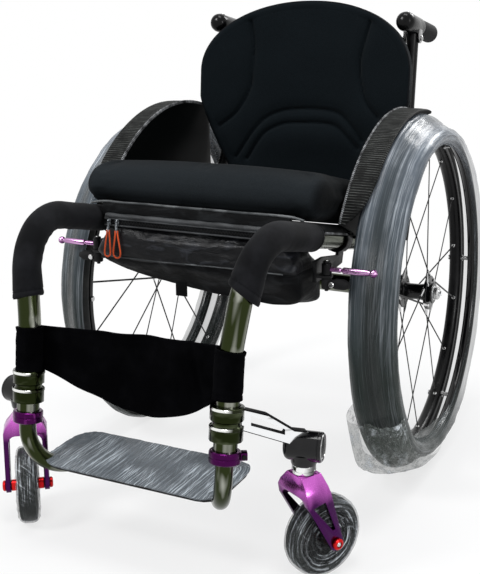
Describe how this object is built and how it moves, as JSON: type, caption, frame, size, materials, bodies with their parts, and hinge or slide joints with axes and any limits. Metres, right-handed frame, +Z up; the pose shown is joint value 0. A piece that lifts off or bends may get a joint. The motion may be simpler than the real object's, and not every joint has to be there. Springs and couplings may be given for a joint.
{
  "type": "active wheelchair",
  "caption": "Rigid-frame active wheelchair with cambered spoked wheels, swivel casters, padded seat and backrest, side guards, brakes, footplate and an under-seat bag.",
  "frame": {"origin": "on the floor, under the middle of the chair's bounding box", "axes": "+Z up; the chair faces -Y; +X is towards the user's left hand"},
  "size_m": [0.5966, 0.8642, 0.7747],
  "materials": {
    "frame_metal": "polished dark olive metal",
    "chrome": "bright polished",
    "black_metal": "satin black",
    "black_gloss": "gloss black",
    "purple": "purple anodised",
    "red": "red anodised",
    "rubber": "matt black",
    "tyre_rubber": "matt black",
    "grey_rubber": "satin grey",
    "carbon": "lacquered dark weave",
    "neoprene": "matt black",
    "mesh_fabric": "matt black mesh",
    "nylon": "black woven nylon",
    "orange_cord": "orange braid"
  },
  "bodies": {
    "frame": {"side_tube_left": "frame_metal", "side_tube_right": "frame_metal", "axle_tube": "frame_metal", "seat_cross_tube": "frame_metal", "axle_clamp_left": "black_metal", "axle_clamp_right": "black_metal", "backrest_bracket_left": "black_metal", "backrest_bracket_right": "black_metal", "caster_arm_left": "chrome", "caster_arm_right": "chrome", "caster_housing_left": "black_gloss", "caster_housing_right": "black_gloss", "caster_bearing_left": "chrome", "caster_bearing_right": "chrome", "height_collar_left": "purple", "height_collar_right": "purple", "seat_sling": "nylon", "cushion": "mesh_fabric", "seat_bag": "nylon", "tube_cover_left": "neoprene", "tube_cover_right": "neoprene", "calf_strap": "neoprene", "side_guard_left": "carbon", "side_guard_right": "carbon", "brake_mount_left": "black_metal", "brake_mount_right": "black_metal", "axle_pin_left": "chrome", "axle_pin_right": "chrome"},
    "backrest": {"back_pad": "mesh_fabric", "back_shell": "black_metal", "back_frame": "black_metal"},
    "footrest": {"footrest_tube": "frame_metal", "footplate": "black_gloss"},
    "wheel_left": {"tyre_left": "tyre_rubber", "rim_left": "black_metal", "handrim_left": "black_gloss", "hub_left": "black_metal"},
    "button_left": {"axle_button_left": "chrome"},
    "caster_left": {"caster_fork_left": "purple", "caster_axle_left": "red"},
    "caster_wheel_left": {"caster_tyre_left": "grey_rubber", "caster_hub_left": "black_gloss"},
    "brake_left": {"brake_arm_left": "purple", "brake_lever_left": "rubber"},
    "handle_left": {"push_handle_left": "rubber"},
    "wheel_right": {"tyre_right": "tyre_rubber", "rim_right": "black_metal", "handrim_right": "black_gloss", "hub_right": "black_metal"},
    "button_right": {"axle_button_right": "chrome"},
    "caster_right": {"caster_fork_right": "purple", "caster_axle_right": "red"},
    "caster_wheel_right": {"caster_tyre_right": "grey_rubber", "caster_hub_right": "black_gloss"},
    "brake_right": {"brake_arm_right": "purple", "brake_lever_right": "rubber"},
    "handle_right": {"push_handle_right": "rubber"},
    "slider_left": {"zip_pull_left": "orange_cord"},
    "slider_right": {"zip_pull_right": "orange_cord"}
  },
  "joints": [
    {"name": "backrest_fold", "type": "hinge", "parent": "frame", "child": "backrest", "pos_m": [0, 0.1975, 0.412], "axis": [1, 0, 0], "range_deg": [0, 48]},
    {"name": "footrest_height", "type": "slide", "parent": "frame", "child": "footrest", "axis": [0, -0.1392, -0.9903], "range_m": [0, 0.045]},
    {"name": "wheel_spin_left", "type": "hinge", "parent": "frame", "child": "wheel_left", "pos_m": [0.2458, 0.1355, 0.2963], "axis": [0.9994, 0, 0.0349], "continuous": true},
    {"name": "axle_button_press_left", "type": "slide", "parent": "frame", "child": "button_left", "axis": [0.9994, 0, 0.0349], "range_m": [-0.0045, 0], "stiffness_N_per_m": 300, "springref_m": 0.003},
    {"name": "caster_swivel_left", "type": "hinge", "parent": "frame", "child": "caster_left", "pos_m": [0.236, -0.3275, 0.1606], "axis": [0, 0, 1], "continuous": true},
    {"name": "caster_roll_left", "type": "hinge", "parent": "caster_left", "child": "caster_wheel_left", "pos_m": [0.2524, -0.29886, 0.057], "axis": [0.8678, -0.4969, 0], "continuous": true},
    {"name": "brake_swing_left", "type": "hinge", "parent": "frame", "child": "brake_left", "pos_m": [0.199, -0.1595, 0.4], "axis": [0, 0, 1], "range_deg": [-75, 6]},
    {"name": "handle_fold_left", "type": "hinge", "parent": "backrest", "child": "handle_left", "pos_m": [0.18, 0.2855, 0.7125], "axis": [-1, 0, 0], "range_deg": [0, 70]},
    {"name": "wheel_spin_right", "type": "hinge", "parent": "frame", "child": "wheel_right", "pos_m": [-0.2458, 0.1355, 0.2963], "axis": [-0.9994, 0, 0.0349], "continuous": true},
    {"name": "axle_button_press_right", "type": "slide", "parent": "frame", "child": "button_right", "axis": [-0.9994, 0, 0.0349], "range_m": [-0.0045, 0], "stiffness_N_per_m": 300, "springref_m": 0.003},
    {"name": "caster_swivel_right", "type": "hinge", "parent": "frame", "child": "caster_right", "pos_m": [-0.236, -0.3275, 0.1606], "axis": [0, 0, 1], "continuous": true},
    {"name": "caster_roll_right", "type": "hinge", "parent": "caster_right", "child": "caster_wheel_right", "pos_m": [-0.21625, -0.35394, 0.057], "axis": [-0.8011, -0.5985, 0], "continuous": true},
    {"name": "brake_swing_right", "type": "hinge", "parent": "frame", "child": "brake_right", "pos_m": [-0.199, -0.1595, 0.4], "axis": [0, 0, -1], "range_deg": [-75, 6]},
    {"name": "handle_fold_right", "type": "hinge", "parent": "backrest", "child": "handle_right", "pos_m": [-0.18, 0.2855, 0.7125], "axis": [-1, 0, 0], "range_deg": [0, 70]},
    {"name": "zip_run_left", "type": "slide", "parent": "frame", "child": "slider_left", "axis": [1, 0, 0], "range_m": [0, 0.262]},
    {"name": "zip_run_right", "type": "slide", "parent": "frame", "child": "slider_right", "axis": [1, 0, 0], "range_m": [-0.0015, 0.0015]}
  ]
}
